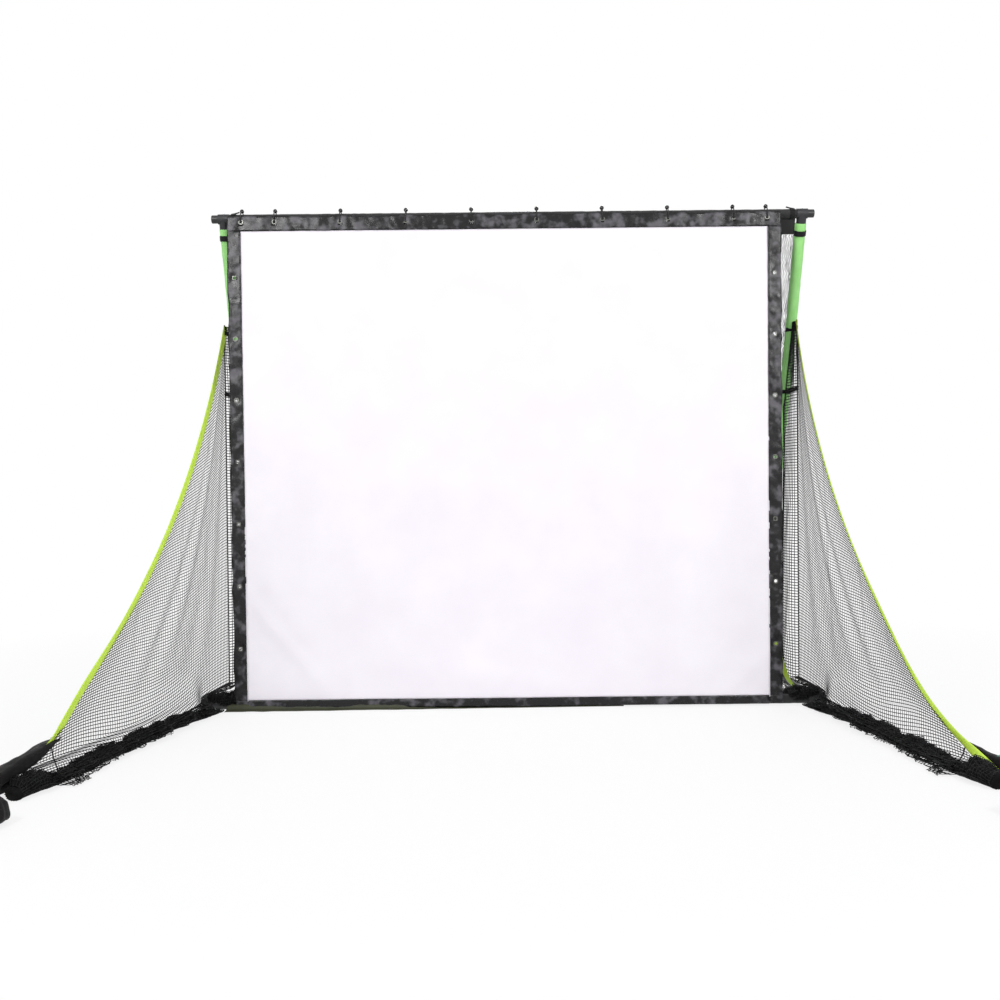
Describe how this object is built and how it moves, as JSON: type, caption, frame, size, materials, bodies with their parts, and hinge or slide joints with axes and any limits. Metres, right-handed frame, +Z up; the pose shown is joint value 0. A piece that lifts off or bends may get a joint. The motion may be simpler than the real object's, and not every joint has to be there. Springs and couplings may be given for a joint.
{
  "type": "golf practice net",
  "caption": "Free-standing golf net: knock-down tube frame, hanging white impact screen, return net behind it, flared side nets and saddle sandbags.",
  "frame": {"origin": "on the floor, under the middle of the whole set's outer box", "axes": "+X to the right as the player faces the screen, +Y away from the player, +Z up"},
  "size_m": [3.6986, 3.054, 2.31],
  "materials": {
    "tube_black": "satin black powder coat",
    "fitting_black": "cast corner fitting, black coat",
    "spring_steel": "bright spring steel",
    "cap_black": "matt rubber",
    "net_black": "knotless mesh",
    "band_black": "woven band",
    "sleeve_green": "bright green sleeve cloth",
    "webbing_lime": "woven lime webbing",
    "webbing_olive": "olive webbing",
    "strap_black": "hook and loop strap",
    "screen_white": "smooth impact cloth",
    "vinyl_black": "shiny black vinyl",
    "eyelet_bright": "plated eyelet",
    "bungee_black": "elastic cord",
    "ball_black": "moulded ball",
    "bag_black": "heavy bag cloth",
    "bag_teal": "teal bag webbing"
  },
  "bodies": {
    "frame": {"top_bar_left": "tube_black", "top_bar_right": "tube_black", "top_bar_coupler": "tube_black", "bottom_bar_left": "tube_black", "bottom_bar_right": "tube_black", "bottom_bar_coupler": "tube_black", "top_corner_left": "fitting_black", "front_corner_left": "fitting_black", "rear_corner_left": "fitting_black", "upper_pole_left": "tube_black", "lower_pole_left": "tube_black", "base_rail_left": "tube_black", "top_corner_right": "fitting_black", "front_corner_right": "fitting_black", "rear_corner_right": "fitting_black", "upper_pole_right": "tube_black", "lower_pole_right": "tube_black", "base_rail_right": "tube_black", "pole_connectors": "tube_black", "end_caps": "cap_black", "button_springs": "spring_steel", "return_net": "net_black", "net_edging_left": "webbing_lime", "net_edging_right": "webbing_lime", "net_top_band": "band_black", "net_bottom_band": "band_black", "net_toe_webbing": "webbing_olive", "pole_sleeve_left": "sleeve_green", "pole_sleeve_right": "sleeve_green", "sleeve_straps": "strap_black", "corner_straps": "strap_black", "net_gussets": "net_black", "side_net_straps": "strap_black"},
    "screen": {"screen_panel": "screen_white", "screen_border": "vinyl_black", "screen_eyelets": "eyelet_bright", "bungee_cords": "bungee_black", "bungee_balls": "ball_black"},
    "side_net_left": {"side_net_left": "net_black", "side_webbing_left": "webbing_lime", "side_cord_left": "strap_black", "side_hem_left": "net_black"},
    "side_net_right": {"side_net_right": "net_black", "side_webbing_right": "webbing_lime", "side_cord_right": "strap_black", "side_hem_right": "net_black"},
    "sandbag_left": {"sandbag_left": "bag_black", "sandbag_straps_left": "bag_teal"},
    "sandbag_right": {"sandbag_right": "bag_black", "sandbag_straps_right": "bag_teal"},
    "snap_button_top_bar": {"snap_button_top_bar": "spring_steel"},
    "snap_button_bottom_bar": {"snap_button_bottom_bar": "spring_steel"},
    "snap_button_top_corner_left": {"snap_button_top_corner_left": "spring_steel"},
    "snap_button_pole_left": {"snap_button_pole_left": "spring_steel"},
    "snap_button_rail_rear_left": {"snap_button_rail_rear_left": "spring_steel"},
    "snap_button_rail_front_left": {"snap_button_rail_front_left": "spring_steel"},
    "snap_button_top_corner_right": {"snap_button_top_corner_right": "spring_steel"},
    "snap_button_pole_right": {"snap_button_pole_right": "spring_steel"},
    "snap_button_rail_rear_right": {"snap_button_rail_rear_right": "spring_steel"},
    "snap_button_rail_front_right": {"snap_button_rail_front_right": "spring_steel"}
  },
  "joints": [
    {"name": "screen_swing", "type": "hinge", "parent": "frame", "child": "screen", "pos_m": [0.06427, 0.62497, 2.267], "axis": [-1, 0, 0], "range_deg": [0, 70]},
    {"name": "side_net_left_swing", "type": "hinge", "parent": "frame", "child": "side_net_left", "pos_m": [-1.32073, 0.74298, 0], "axis": [0, 0, -1], "range_deg": [-5, 15]},
    {"name": "sandbag_left_lift", "type": "slide", "parent": "side_net_left", "child": "sandbag_left", "axis": [0, 0, 1], "range_m": [0, 0.4]},
    {"name": "side_net_right_swing", "type": "hinge", "parent": "frame", "child": "side_net_right", "pos_m": [1.42226, 0.74298, 0], "axis": [0, 0, 1], "range_deg": [-5, 15]},
    {"name": "sandbag_right_lift", "type": "slide", "parent": "side_net_right", "child": "sandbag_right", "axis": [0, 0, 1], "range_m": [0, 0.4]},
    {"name": "press_top_bar", "type": "slide", "parent": "frame", "child": "snap_button_top_bar", "axis": [0, 0, -1], "range_m": [0, 0.004], "stiffness_N_per_m": 400, "springref_m": -0.002},
    {"name": "press_bottom_bar", "type": "slide", "parent": "frame", "child": "snap_button_bottom_bar", "axis": [0, 0, -1], "range_m": [0, 0.004], "stiffness_N_per_m": 400, "springref_m": -0.002},
    {"name": "press_top_corner_left", "type": "slide", "parent": "frame", "child": "snap_button_top_corner_left", "axis": [0, 0, -1], "range_m": [0, 0.004], "stiffness_N_per_m": 400, "springref_m": -0.002},
    {"name": "press_pole_left", "type": "slide", "parent": "frame", "child": "snap_button_pole_left", "axis": [0, -0.9312, -0.3646], "range_m": [0, 0.004], "stiffness_N_per_m": 400, "springref_m": -0.002},
    {"name": "press_rail_rear_left", "type": "slide", "parent": "frame", "child": "snap_button_rail_rear_left", "axis": [0, 0, -1], "range_m": [0, 0.004], "stiffness_N_per_m": 400, "springref_m": -0.002},
    {"name": "press_rail_front_left", "type": "slide", "parent": "frame", "child": "snap_button_rail_front_left", "axis": [0, 0, -1], "range_m": [0, 0.004], "stiffness_N_per_m": 400, "springref_m": -0.002},
    {"name": "press_top_corner_right", "type": "slide", "parent": "frame", "child": "snap_button_top_corner_right", "axis": [0, 0, -1], "range_m": [0, 0.004], "stiffness_N_per_m": 400, "springref_m": -0.002},
    {"name": "press_pole_right", "type": "slide", "parent": "frame", "child": "snap_button_pole_right", "axis": [0, -0.9312, -0.3646], "range_m": [0, 0.004], "stiffness_N_per_m": 400, "springref_m": -0.002},
    {"name": "press_rail_rear_right", "type": "slide", "parent": "frame", "child": "snap_button_rail_rear_right", "axis": [0, 0, -1], "range_m": [0, 0.004], "stiffness_N_per_m": 400, "springref_m": -0.002},
    {"name": "press_rail_front_right", "type": "slide", "parent": "frame", "child": "snap_button_rail_front_right", "axis": [0, 0, -1], "range_m": [0, 0.004], "stiffness_N_per_m": 400, "springref_m": -0.002}
  ]
}
